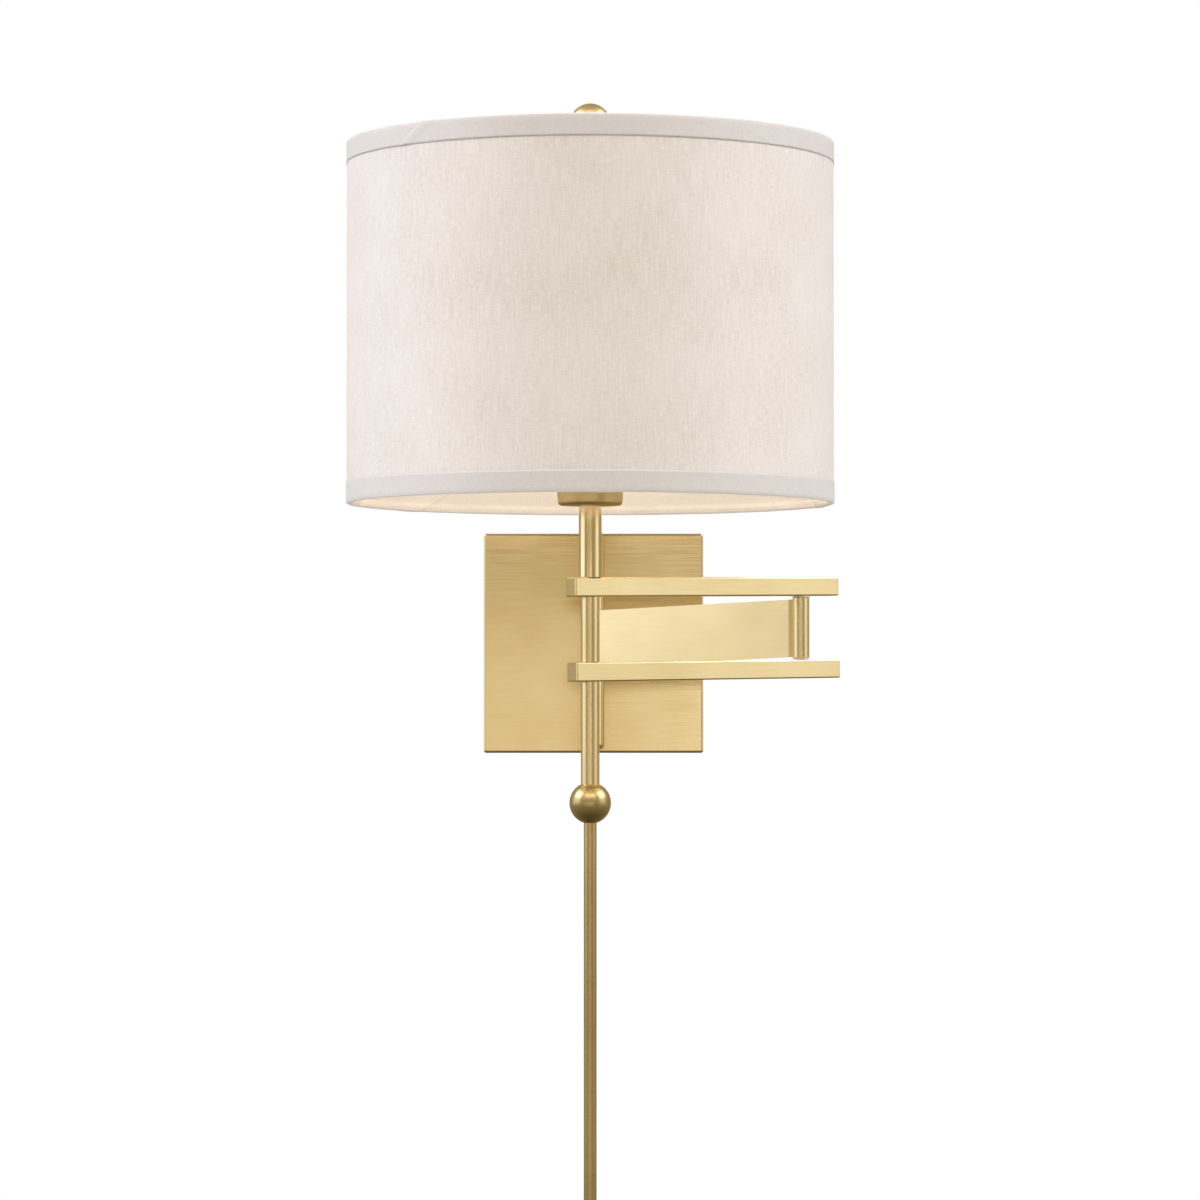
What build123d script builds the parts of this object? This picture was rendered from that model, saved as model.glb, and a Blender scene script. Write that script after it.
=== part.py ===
from build123d import *
import math
import os

# Swing arm wall sconce, in millimetres. The origin is the centre of the back of the wall plate,
# on the wall. +X runs along the wall, +Z up, and the room is on the -Y side.

# Wall plate: a square pan over a mounting strip
PLATE_SIDE = 146.0
PLATE_DEPTH = 22.0
PLATE_WALL = 1.2
PLATE_EDGE = 1.6
STRIP_WIDTH = 20.0
STRIP_THICKNESS = 2.0
STRIP_EAR = 16.0
STRIP_GAP = 0.5
SLOT_SPACING = 79.4
SLOT_LENGTH = 14.0
SLOT_RADIUS = 2.4
SET_SCREW_RADIUS = 2.0
SET_SCREW_LENGTH = 8.0
SET_SCREW_SETBACK = 10.0
SCREW_HOLE_GAP = 0.1

# Tube, posts and rod that the inner arm turns on
PIVOT_Y = -42.0
TUBE_RADIUS = 7.15
TUBE_TOP = 73.0
TUBE_BOTTOM = -70.5
CAP_HEIGHT = 4.0
CAP_ROUND = 3.2
ROD_RADIUS = 4.0
ROD_IN_CAP = 2.0
POST_RADIUS = 5.5
POST_UPPER_Z = 52.0
POST_LOWER_Z = -50.0
POST_SCREW_RADIUS = 2.0
POST_SCREW_REACH = 8.0
SCREW_HEAD_RADIUS = 4.0
SCREW_HEAD_HEIGHT = 2.5

# Inner arm: an upright flat plate along the front of its knuckle, to a sleeve at the elbow
ARM_REACH = 160.0
INNER_ANGLE = -33.4
PANEL_HEIGHT = 37.0
PANEL_THICKNESS = 2.6
PANEL_COVE = 5.0
PANEL_START = 4.0
PANEL_SET_BACK = 0.05
PANEL_BEVEL_LENGTH = 8.4
PANEL_BEVEL_DEPTH = 1.9
KNUCKLE_MIDDLE_Z = 2.4
KNUCKLE_RADIUS = 7.75
SLEEVE_MIDDLE_Z = 7.9
SLEEVE_HEIGHT = 39.6
SLEEVE_RADIUS = 5.3
SLEEVE_CHAMFER = 0.6
SEAM_WIDTH = 0.6
SEAM_DEPTH = 0.5
BUSH_LENGTH = 10.0
RUNNING_GAP = 0.06
END_GAP = 0.3
WALL_BUSH_RADIUS = 5.2
WALL_FLANGE_RADIUS = 7.0
WALL_FLANGE = 0.6
ELBOW_BUSH_RADIUS = 3.4
ELBOW_FLANGE_RADIUS = 6.0

# Outer arm: two square bars between the elbow pin and the stem
OUTER_ANGLE = 32.2
BAR_SIDE = 12.0
BAR_EDGE = 0.9
BAR_GAP = 41.0
BARS_AT_STEM_Z = 4.9
STEM_SEAT = 0.15
BAR_PAST_STEM = 14.0
BAR_PAST_ELBOW = 26.0
ELBOW_PIN_RADIUS = 2.5
ELBOW_PIN_DEPTH = 9.0

# Stem, ball and the tube below it
STEM_TOP = 82.6
SLIM_TUBE_RADIUS = 5.8
PIPE_RADIUS = 4.8
PIPE_BORE = 3.4
PIPE_IN_CAP = 4.0
BALL_RADIUS = 13.0
BALL_Z = -103.4
BALL_FLAT = 11.5
BALL_BORE_DEPTH = 6.0
COVER_RADIUS = 4.0
COVER_BORE = 3.2
COVER_LENGTH = 304.8
BUSHING_BORE = 2.6
BUSHING_INSERT = 8.0
BUSHING_FLANGE = 2.0
BUSHING_FLANGE_RADIUS = 4.8
WIRE_RADIUS = 0.9
WIRE_SPREAD = 1.2

# Socket, from the cup up
CUP_TOP_RADIUS = 21.0
CUP_BOTTOM_RADIUS = 20.0
CUP_HEIGHT = 10.0
CUP_WALL = 1.2
CUP_ROUND = 2.0
NUT_FLATS = 14.0
SADDLE_THICKNESS = 1.5
SADDLE_WIDTH = 12.0
SADDLE_HALF = 27.0
SADDLE_POST_RADIUS = 3.0
SADDLE_POST_HEIGHT = 18.0
FERRULE_WALL = 1.0
FERRULE_LENGTH = 11.0
SOCKET_CAP_HEIGHT = 15.5
SOCKET_RADIUS = 16.5
SOCKET_WALL = 1.0
SHELL_LENGTH = 40.0
INSULATOR_WALL = 0.8
SOCKET_BODY_RADIUS = 14.5
SOCKET_BODY_LOW = 104.0
SOCKET_BODY_TOP = 122.0
SCREW_SHELL_RADIUS = 14.3
SCREW_SHELL_WALL = 0.8
SCREW_SHELL_HEIGHT = 23.0
CONTACT_RADIUS = 3.0
CONTACT_HEIGHT = 2.5
KEY_Z = 114.0
KEY_SHAFT_RADIUS = 2.0
KEY_SHAFT_DEPTH = 8.0
KEY_REACH = 30.5
KEY_LENGTH = 10.0
KEY_WIDTH = 11.0
KEY_THICKNESS = 3.2
KEY_HOLE_RADIUS = 2.6

# Lamp bulb
BULB_BASE_RADIUS = 13.2
BULB_BASE_HEIGHT = 24.0
BULB_TIP_RADIUS = 5.0
BULB_TIP_HEIGHT = 2.0
BULB_NECK_HEIGHT = 5.0
BULB_RADIUS = 30.0
BULB_MIDDLE = 54.0
BULB_WALL = 0.8

# Harp and finial
HARP_WIRE = 1.6
HARP_NARROW = 27.0
HARP_WIDE = 58.0
HARP_SHOULDER = 16.0
HARP_TOP = 298.0
HARP_BEND_LOW = 30.0
HARP_BEND_HIGH = 38.0
STUD_RADIUS = 3.0
STUD_COLLAR_RADIUS = 5.0
STUD_COLLAR_HALF = 3.4
STUD_TOP = 314.0
WASHER_RADIUS = 9.0
WASHER_HEIGHT = 1.6
FINIAL_NECK_RADIUS = 4.5
FINIAL_Z = 321.8

# Drum shade
SHADE_RADIUS = 152.4
SHADE_BOTTOM = 83.8
SHADE_HEIGHT = 225.1
CLOTH = 0.5
LINER = 0.5
RING_WIRE = 1.3
RING_MARGIN = 0.2
TRIM_HEIGHT = 13.0
TRIM_CLOTH = 0.6
TRIM_SLIT = 0.1
SPIDER_WIRE = 1.2
SPIDER_ARMS = 3

# Heights worked out from those above
KNUCKLE_TOP = KNUCKLE_MIDDLE_Z + PANEL_HEIGHT / 2
KNUCKLE_BOTTOM = KNUCKLE_MIDDLE_Z - PANEL_HEIGHT / 2
SLEEVE_TOP = SLEEVE_MIDDLE_Z + SLEEVE_HEIGHT / 2
SLEEVE_BOTTOM = SLEEVE_MIDDLE_Z - SLEEVE_HEIGHT / 2
UPPER_BAR_LOW = BARS_AT_STEM_Z + BAR_GAP / 2
UPPER_BAR_TOP = UPPER_BAR_LOW + BAR_SIDE
LOWER_BAR_TOP = BARS_AT_STEM_Z - BAR_GAP / 2
LOWER_BAR_LOW = LOWER_BAR_TOP - BAR_SIDE
ELBOW_FLANGE = (BAR_GAP - SLEEVE_HEIGHT) / 2 - END_GAP
PANEL_RISE = SLEEVE_MIDDLE_Z - KNUCKLE_MIDDLE_Z
PANEL_OFFSET = KNUCKLE_RADIUS - PANEL_THICKNESS / 2 - PANEL_SET_BACK
PANEL_END = math.sqrt(ARM_REACH**2 - PANEL_OFFSET**2)
PANEL_SKEW = math.degrees(math.asin(PANEL_OFFSET / ARM_REACH))
BAR_TILT = math.degrees(math.atan2(SLEEVE_MIDDLE_Z - BARS_AT_STEM_Z, ARM_REACH))
COVER_TOP = BALL_Z - BALL_BORE_DEPTH
COVER_FOOT = COVER_TOP - COVER_LENGTH
CUP_TOP = STEM_TOP + CUP_HEIGHT
SADDLE_TOP = CUP_TOP + SADDLE_THICKNESS
PIPE_TOP = SADDLE_TOP + PIPE_IN_CAP
SHELL_LOW = SADDLE_TOP + SOCKET_CAP_HEIGHT
SHELL_TOP = SHELL_LOW + SHELL_LENGTH
BULB_FOOT = SOCKET_BODY_TOP + CONTACT_HEIGHT
BULB_GLASS_LOW = BULB_FOOT + BULB_TIP_HEIGHT + BULB_BASE_HEIGHT
WASHER_LOW = HARP_TOP + STUD_COLLAR_HALF
FINIAL_LOW = WASHER_LOW + WASHER_HEIGHT
SHADE_TOP = SHADE_BOTTOM + SHADE_HEIGHT
RING_RADIUS = SHADE_RADIUS - CLOTH - LINER - RING_WIRE
RING_INSET = RING_WIRE + RING_MARGIN
TOP_RING_Z = SHADE_TOP - RING_INSET
BOTTOM_RING_Z = SHADE_BOTTOM + RING_INSET

# Upright axes of the wall pivot, elbow and stem
PIVOT = Vector(0, PIVOT_Y, 0)
ELBOW = PIVOT + Vector(ARM_REACH, 0, 0).rotate(Axis.Z, INNER_ANGLE)
STEM = ELBOW - Vector(ARM_REACH, 0, 0).rotate(Axis.Z, OUTER_ANGLE)
AT_PIVOT = Location(PIVOT)
AT_ELBOW = Location(ELBOW)
AT_STEM = Location(STEM)
INNER_ARM = Location(PIVOT, (0, 0, INNER_ANGLE))
OUTER_ARM = Location(STEM, (0, 0, OUTER_ANGLE))

FROM_BOTTOM = (Align.CENTER, Align.CENTER, Align.MIN)


def disc(radius, low, high):
    """Upright solid cylinder on the Z axis."""
    return Pos(0, 0, low) * Cylinder(radius, high - low, align=FROM_BOTTOM)


def tube(outer, inner, low, high):
    """Upright tube on the Z axis."""
    return disc(outer, low, high) - disc(inner, low, high)


def rod(start, end, radius):
    """Round rod between two points."""
    path = Vector(*end) - Vector(*start)
    return Plane(origin=start, z_dir=path) * Cylinder(radius, path.length, align=FROM_BOTTOM)


def flanged_bush(bore, barrel, flange_radius, flange, face_z, outward):
    """Bush whose flange stands on face_z, with its barrel inside; outward is 1 up and -1 down."""
    flange_low = min(face_z, face_z + outward * flange)
    barrel_low = min(face_z, face_z - outward * BUSH_LENGTH)
    solid = disc(flange_radius, flange_low, flange_low + flange)
    solid += disc(barrel, barrel_low, barrel_low + BUSH_LENGTH)
    return solid - disc(bore, flange_low - BUSH_LENGTH, flange_low + 2 * BUSH_LENGTH)


# ---------------------------------------------------------------- wall plate and pivot


def backplate_pan():
    """Square pan, open towards the wall, with holes for the post screws and set screws."""
    align = (Align.CENTER, Align.MAX, Align.CENTER)
    block = Box(PLATE_SIDE, PLATE_DEPTH, PLATE_SIDE, align=align)
    front = block.faces().sort_by(Axis.Y)[0]
    block = fillet(front.edges() + block.edges().filter_by(Axis.Y), PLATE_EDGE)
    inside = PLATE_SIDE - 2 * PLATE_WALL
    pan = block - Box(inside, PLATE_DEPTH - PLATE_WALL, inside, align=align)
    for z in (POST_UPPER_Z, POST_LOWER_Z):
        hole_radius = POST_SCREW_RADIUS + SCREW_HOLE_GAP
        pan -= rod((0, -PLATE_DEPTH - 1, z), (0, -PLATE_DEPTH + PLATE_WALL + 1, z), hole_radius)
    hole_radius = SET_SCREW_RADIUS + SCREW_HOLE_GAP
    return pan - Pos(0, -SET_SCREW_SETBACK, 0) * disc(hole_radius, -PLATE_SIDE, PLATE_SIDE)


def mounting_strip():
    """Steel strip with ears bent forward, slotted for the box screws."""
    half = PLATE_SIDE / 2 - PLATE_WALL - STRIP_GAP
    strip = Box(STRIP_WIDTH, STRIP_EAR, 2 * half, align=(Align.CENTER, Align.MAX, Align.CENTER))
    inner = Box(STRIP_WIDTH, STRIP_EAR, 2 * (half - STRIP_THICKNESS))
    strip -= Pos(0, -STRIP_THICKNESS - STRIP_EAR / 2, 0) * inner
    corners = strip.edges().filter_by(Axis.X).group_by(Axis.Y)[-1]
    strip = fillet(corners, STRIP_THICKNESS / 2)
    slot = SlotOverall(SLOT_LENGTH, 2 * SLOT_RADIUS, rotation=90)
    for z in (-SLOT_SPACING / 2, SLOT_SPACING / 2):
        strip -= extrude(Plane.XZ * Pos(0, z) * slot, STRIP_THICKNESS, both=True)
    return strip - Pos(0, -SET_SCREW_SETBACK, 0) * disc(SET_SCREW_RADIUS, -half, half)


def pan_set_screws():
    """Two socket set screws that hold the pan to the ears, flush with the pan."""
    screws = Part()
    for side in (1, -1):
        end = side * PLATE_SIDE / 2
        foot = end - side * SET_SCREW_LENGTH
        screw = rod((0, -SET_SCREW_SETBACK, foot), (0, -SET_SCREW_SETBACK, end), SET_SCREW_RADIUS)
        key = extrude(RegularPolygon(SET_SCREW_RADIUS / 2, 6), SET_SCREW_LENGTH / 3, both=True)
        screws += screw - Pos(0, -SET_SCREW_SETBACK, end) * key
    return screws


def pivot_post(z):
    """Short post from the plate to the tube, shaped to sit against it."""
    post = rod((0, -PLATE_DEPTH, z), (0, PIVOT_Y, z), POST_RADIUS)
    post -= AT_PIVOT * disc(TUBE_RADIUS, z - 2 * POST_RADIUS, z + 2 * POST_RADIUS)
    tapped_end = -PLATE_DEPTH - POST_SCREW_REACH
    return post - rod((0, -PLATE_DEPTH, z), (0, tapped_end, z), POST_SCREW_RADIUS)


def post_screws():
    """Pan head screws from inside the pan into the posts."""
    inside = -PLATE_DEPTH + PLATE_WALL
    screws = Part()
    for z in (POST_UPPER_Z, POST_LOWER_Z):
        shank_end = -PLATE_DEPTH - POST_SCREW_REACH
        screw = rod((0, inside, z), (0, shank_end, z), POST_SCREW_RADIUS)
        head = rod((0, inside, z), (0, inside + SCREW_HEAD_HEIGHT, z), SCREW_HEAD_RADIUS)
        rim = head.edges().filter_by(GeomType.CIRCLE).sort_by(Axis.Y)[-1]
        screws += screw + fillet(rim, SCREW_HEAD_HEIGHT / 3)
    return screws


def wall_tube_upper():
    low = KNUCKLE_TOP + WALL_FLANGE + END_GAP
    return AT_PIVOT * tube(TUBE_RADIUS, ROD_RADIUS, low, TUBE_TOP - CAP_HEIGHT)


def wall_tube_lower():
    high = KNUCKLE_BOTTOM - WALL_FLANGE - END_GAP
    return AT_PIVOT * tube(TUBE_RADIUS, ROD_RADIUS, TUBE_BOTTOM + CAP_HEIGHT, high)


def tube_cap():
    """Rounded cap, open side down, that takes the rod's end."""
    cap = disc(TUBE_RADIUS, 0, CAP_HEIGHT)
    cap = fillet(cap.edges().sort_by(Axis.Z)[-1], CAP_ROUND)
    return cap - disc(ROD_RADIUS, 0, ROD_IN_CAP)


def wall_pivot_rod():
    low = TUBE_BOTTOM + CAP_HEIGHT - ROD_IN_CAP
    return AT_PIVOT * disc(ROD_RADIUS, low, TUBE_TOP - CAP_HEIGHT + ROD_IN_CAP)


# ---------------------------------------------------------------- inner arm


def elbow_bevel():
    """What is cut from the plate's front so that it falls back before the elbow sleeve."""
    face = -PANEL_THICKNESS / 2
    start = PANEL_END - PANEL_BEVEL_LENGTH
    corners = [(start, face), (PANEL_END, face), (PANEL_END, face + PANEL_BEVEL_DEPTH)]
    return extrude(make_face(Polyline(*corners, close=True)), PANEL_HEIGHT, both=True)


def flat_arm_plate():
    """Upright plate that rises from the knuckle's front to the sleeve, coved into both at the back.
    Drawn along X, with the knuckle's axis to its left, then turned to run along the arm."""
    corners = [
        (PANEL_START, KNUCKLE_BOTTOM),
        (PANEL_END, KNUCKLE_BOTTOM + PANEL_RISE),
        (PANEL_END, KNUCKLE_TOP + PANEL_RISE),
        (PANEL_START, KNUCKLE_TOP),
    ]
    outline = make_face(Plane.XZ * Polyline(*corners, close=True))
    plate = extrude(outline, PANEL_THICKNESS / 2, both=True) - elbow_bevel()
    knuckle = Pos(0, PANEL_OFFSET, 0) * disc(KNUCKLE_RADIUS, KNUCKLE_BOTTOM, KNUCKLE_TOP + PANEL_RISE)
    sleeve = Pos(PANEL_END, 0, 0) * disc(SLEEVE_RADIUS, SLEEVE_BOTTOM - PANEL_RISE, SLEEVE_TOP)
    whole = plate + knuckle + sleeve
    uprights = whole.edges().filter_by(Axis.Z)
    on_back = uprights.filter_by(lambda e: abs(e.center().Y - PANEL_THICKNESS / 2) < PANEL_SET_BACK)
    joints = on_back.filter_by(lambda e: 0 < e.center().X < PANEL_END)
    whole = fillet(joints, PANEL_COVE)
    shape = whole - knuckle - sleeve
    return INNER_ARM * Rot(0, 0, PANEL_SKEW) * Pos(0, -PANEL_OFFSET, 0) * shape


def wall_knuckle():
    return AT_PIVOT * tube(KNUCKLE_RADIUS, WALL_BUSH_RADIUS, KNUCKLE_BOTTOM, KNUCKLE_TOP)


def wall_bush(face_z, outward):
    bore = ROD_RADIUS + RUNNING_GAP
    bush = flanged_bush(bore, WALL_BUSH_RADIUS, WALL_FLANGE_RADIUS, WALL_FLANGE, face_z, outward)
    return AT_PIVOT * bush


def elbow_sleeve():
    """Rolled sleeve whose seam faces away from the wall."""
    sleeve = disc(SLEEVE_RADIUS, SLEEVE_BOTTOM, SLEEVE_TOP)
    sleeve = chamfer(sleeve.edges().filter_by(GeomType.CIRCLE), SLEEVE_CHAMFER)
    sleeve -= Pos(0, -SLEEVE_RADIUS, SLEEVE_MIDDLE_Z) * Box(SEAM_WIDTH, 2 * SEAM_DEPTH, SLEEVE_HEIGHT)
    return AT_ELBOW * (sleeve - disc(ELBOW_BUSH_RADIUS, SLEEVE_BOTTOM, SLEEVE_TOP))


def elbow_bush(face_z, outward):
    bore = ELBOW_PIN_RADIUS + RUNNING_GAP
    bush = flanged_bush(bore, ELBOW_BUSH_RADIUS, ELBOW_FLANGE_RADIUS, ELBOW_FLANGE, face_z, outward)
    return AT_ELBOW * bush


# ---------------------------------------------------------------- outer arm and stem


def elbow_pin_solid():
    half = BAR_GAP / 2 + ELBOW_PIN_DEPTH
    return disc(ELBOW_PIN_RADIUS, SLEEVE_MIDDLE_Z - half, SLEEVE_MIDDLE_Z + half)


def arm_bar(side):
    """Square bar that rises towards the elbow, with a hole for the pipe and a blind one for the pin.
    side is 1 for the upper bar and -1 for the lower one."""
    length = BAR_PAST_STEM + ARM_REACH + BAR_PAST_ELBOW
    bar = Box(length, BAR_SIDE, BAR_SIDE, align=(Align.MIN, Align.CENTER, Align.CENTER))
    bar = fillet(bar.edges(), BAR_EDGE)
    bar = Pos(-BAR_PAST_STEM, 0, side * (BAR_GAP + BAR_SIDE) / 2) * bar
    bar = Pos(0, 0, BARS_AT_STEM_Z) * Rot(0, -BAR_TILT, 0) * bar
    bar -= disc(PIPE_RADIUS, LOWER_BAR_LOW - BAR_SIDE, UPPER_BAR_TOP + BAR_SIDE)
    return OUTER_ARM * (bar - Pos(ARM_REACH, 0, 0) * elbow_pin_solid())


def stem_tube(radius, low, high):
    return AT_STEM * tube(radius, PIPE_RADIUS, low, high)


def stem_ball():
    """Ball tapped for the pipe above and bored for the cover tube below, with a wire way through."""
    ball = Pos(0, 0, BALL_Z) * Sphere(BALL_RADIUS)
    ball -= disc(BALL_RADIUS, BALL_Z + BALL_FLAT, BALL_Z + BALL_RADIUS)
    ball -= disc(PIPE_RADIUS, BALL_Z, BALL_Z + BALL_RADIUS)
    ball -= disc(COVER_RADIUS, BALL_Z - BALL_RADIUS, COVER_TOP)
    return AT_STEM * (ball - disc(COVER_BORE, COVER_TOP, BALL_Z))


def cord_bushing():
    """Insulating bushing in the foot of the cover tube."""
    flange_low = COVER_FOOT - BUSHING_FLANGE
    flange = disc(BUSHING_FLANGE_RADIUS, flange_low, COVER_FOOT)
    flange = fillet(flange.edges().filter_by(GeomType.CIRCLE), BUSHING_FLANGE / 3)
    bushing = flange + disc(COVER_BORE, COVER_FOOT, COVER_FOOT + BUSHING_INSERT)
    return AT_STEM * (bushing - disc(BUSHING_BORE, flange_low, COVER_FOOT + BUSHING_INSERT))


def lead_wires():
    """Two insulated wires from the socket down to just above the bushing."""
    low = COVER_FOOT + BUSHING_INSERT + BUSHING_FLANGE
    wires = Part()
    for x in (-WIRE_SPREAD, WIRE_SPREAD):
        wires += Pos(x, 0, 0) * disc(WIRE_RADIUS, low, SOCKET_BODY_LOW)
    return AT_STEM * wires


# ---------------------------------------------------------------- socket and bulb


def socket_cup():
    """Spun cup, slightly flared, with a rounded foot."""
    shape = Pos(0, 0, STEM_TOP) * Cone(CUP_BOTTOM_RADIUS, CUP_TOP_RADIUS, CUP_HEIGHT, align=FROM_BOTTOM)
    shape = fillet(shape.edges().filter_by(GeomType.CIRCLE).sort_by(Axis.Z)[0], CUP_ROUND)
    inside = Cone(CUP_BOTTOM_RADIUS - CUP_WALL, CUP_TOP_RADIUS - CUP_WALL, CUP_HEIGHT, align=FROM_BOTTOM)
    shape -= Pos(0, 0, STEM_TOP + CUP_WALL) * inside
    return AT_STEM * (shape - disc(PIPE_RADIUS, STEM_TOP, CUP_TOP))


def cup_nut():
    """Long hexagon nut that clamps the cup and carries the saddle."""
    hexagon = RegularPolygon(NUT_FLATS / 2, 6, major_radius=False)
    low = STEM_TOP + CUP_WALL
    nut = Pos(0, 0, low) * extrude(hexagon, CUP_TOP - low)
    return AT_STEM * (nut - disc(PIPE_RADIUS, low, CUP_TOP))


def harp_saddle():
    """Strip under the socket with two upright posts, bored for the harp's legs."""
    strip = Pos(0, 0, CUP_TOP) * Box(2 * SADDLE_HALF, SADDLE_WIDTH, SADDLE_THICKNESS, align=FROM_BOTTOM)
    saddle = strip - disc(PIPE_RADIUS, CUP_TOP, SADDLE_TOP)
    post_top = CUP_TOP + SADDLE_POST_HEIGHT
    for x in (-SADDLE_HALF, SADDLE_HALF):
        saddle += Pos(x, 0, 0) * disc(SADDLE_POST_RADIUS, CUP_TOP, post_top)
    for x in (-SADDLE_HALF, SADDLE_HALF):
        saddle -= Pos(x, 0, 0) * disc(HARP_WIRE, SADDLE_TOP + SADDLE_THICKNESS, post_top)
    return AT_STEM * saddle


def harp_ferrules():
    """Two sleeves over the joints of harp and saddle."""
    low = SADDLE_TOP + SADDLE_THICKNESS
    ferrules = Part()
    for x in (-SADDLE_HALF, SADDLE_HALF):
        sleeve = tube(SADDLE_POST_RADIUS + FERRULE_WALL, SADDLE_POST_RADIUS, low, low + FERRULE_LENGTH)
        ferrules += Pos(x, 0, 0) * sleeve
    return AT_STEM * ferrules


def harp_wire():
    """Bent wire loop that carries the shade, on the Z axis."""
    foot = SADDLE_TOP + SADDLE_THICKNESS
    bend_low = CUP_TOP + 2 * SADDLE_POST_HEIGHT
    bend_high = bend_low + HARP_WIDE - HARP_NARROW
    shoulder = HARP_TOP - (HARP_WIDE - HARP_SHOULDER)
    side = [
        (HARP_NARROW, foot),
        (HARP_NARROW, bend_low),
        (HARP_WIDE, bend_high),
        (HARP_WIDE, shoulder),
        (HARP_SHOULDER, HARP_TOP),
    ]
    points = side + [(-x, z) for x, z in reversed(side)]
    radii = [HARP_BEND_LOW, HARP_BEND_LOW, HARP_BEND_HIGH, HARP_BEND_HIGH]
    path = Plane.XZ * FilletPolyline(*points, radius=radii + radii[::-1])
    section = Pos(HARP_NARROW, 0, foot) * Circle(HARP_WIRE)
    return sweep(section, path)


def harp_stud():
    """Threaded stud held on the top of the harp, for the shade and finial."""
    collar = disc(STUD_COLLAR_RADIUS, HARP_TOP - STUD_COLLAR_HALF, WASHER_LOW)
    stud = collar + disc(STUD_RADIUS, WASHER_LOW, STUD_TOP)
    return AT_STEM * (stud - harp_wire())


def socket_cap():
    """Domed brass cap under the shell."""
    cap = disc(SOCKET_RADIUS, SADDLE_TOP, SHELL_LOW)
    cap = fillet(cap.edges().filter_by(GeomType.CIRCLE).sort_by(Axis.Z)[0], SOCKET_CAP_HEIGHT / 2)
    hollow = disc(SOCKET_RADIUS - SOCKET_WALL, SADDLE_TOP + SOCKET_WALL, SHELL_LOW)
    hollow = fillet(hollow.edges().sort_by(Axis.Z)[0], SOCKET_CAP_HEIGHT / 2 - SOCKET_WALL)
    return AT_STEM * (cap - hollow - disc(PIPE_RADIUS, SADDLE_TOP, PIPE_TOP))


def key_hole(radius, depth):
    """Solid that cuts the switch key's hole, from depth inside the socket outwards."""
    return rod((0, -depth, KEY_Z), (0, -SOCKET_RADIUS - 1, KEY_Z), radius)


def socket_shell():
    shell = tube(SOCKET_RADIUS, SOCKET_RADIUS - SOCKET_WALL, SHELL_LOW, SHELL_TOP)
    return AT_STEM * (shell - key_hole(KEY_HOLE_RADIUS, SOCKET_BODY_RADIUS))


def socket_insulator():
    outer = SOCKET_RADIUS - SOCKET_WALL
    liner = tube(outer, outer - INSULATOR_WALL, SHELL_LOW, SHELL_TOP - SOCKET_WALL)
    return AT_STEM * (liner - key_hole(KEY_HOLE_RADIUS, SOCKET_BODY_RADIUS / 2))


def socket_body():
    """Moulded body that holds the contacts and the switch."""
    body = disc(SOCKET_BODY_RADIUS, SOCKET_BODY_LOW, SOCKET_BODY_TOP)
    hole_end = SOCKET_BODY_RADIUS - KEY_SHAFT_DEPTH - RUNNING_GAP
    return AT_STEM * (body - key_hole(KEY_SHAFT_RADIUS + RUNNING_GAP, hole_end))


def socket_screw_shell():
    inner = SCREW_SHELL_RADIUS - SCREW_SHELL_WALL
    top = SOCKET_BODY_TOP + SCREW_SHELL_HEIGHT
    return AT_STEM * tube(SCREW_SHELL_RADIUS, inner, SOCKET_BODY_TOP, top)


def switch_key():
    """Shaft with a flat oval paddle that turns the lamp on and off."""
    paddle_start = KEY_REACH - KEY_LENGTH
    shaft = rod((0, KEY_SHAFT_DEPTH - SOCKET_BODY_RADIUS, KEY_Z), (0, -paddle_start, KEY_Z), KEY_SHAFT_RADIUS)
    oval = Plane.XZ * SlotOverall(KEY_WIDTH, KEY_THICKNESS)
    paddle = Pos(0, -paddle_start, KEY_Z) * extrude(oval, KEY_LENGTH)
    return AT_STEM * (shaft + paddle)


def bulb_base():
    """Screw base with its contact tip down."""
    tip_top = BULB_FOOT + BULB_TIP_HEIGHT
    base = disc(BULB_TIP_RADIUS, BULB_FOOT, tip_top) + disc(BULB_BASE_RADIUS, tip_top, BULB_GLASS_LOW)
    return AT_STEM * base


def bulb_outline(inset):
    """Half outline of the bulb's glass, turned about Z, as a closed solid set in by inset."""
    neck = BULB_BASE_RADIUS - inset
    neck_top = BULB_GLASS_LOW + BULB_NECK_HEIGHT
    middle = BULB_GLASS_LOW + BULB_MIDDLE
    wide = BULB_RADIUS - inset
    up = (0, 1)
    edges = [
        Line((0, BULB_GLASS_LOW), (neck, BULB_GLASS_LOW)),
        Line((neck, BULB_GLASS_LOW), (neck, neck_top)),
        Spline((neck, neck_top), (wide, middle), tangents=(up, up)),
        CenterArc((0, middle), wide, 0, 90),
        Line((0, middle + wide), (0, BULB_GLASS_LOW)),
    ]
    return revolve(Plane.XZ * make_face(edges), Axis.Z)


def bulb_glass():
    return AT_STEM * (bulb_outline(0) - bulb_outline(BULB_WALL))


# ---------------------------------------------------------------- shade


def shade_ring(z):
    return AT_STEM * Pos(0, 0, z) * Torus(RING_RADIUS, RING_WIRE)


def spider_arms(radius):
    """Arms from the washer out to the top ring."""
    middle_z = (WASHER_LOW + FINIAL_LOW) / 2
    arms = Part()
    for i in range(SPIDER_ARMS):
        turn = math.radians(90 + 360 / SPIDER_ARMS * i)
        out = Vector(math.cos(turn), math.sin(turn), 0)
        start = out * (WASHER_RADIUS - SPIDER_WIRE) + Vector(0, 0, middle_z)
        end = out * RING_RADIUS + Vector(0, 0, TOP_RING_Z)
        arms += rod(tuple(start), tuple(end), radius)
    return arms


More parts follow.
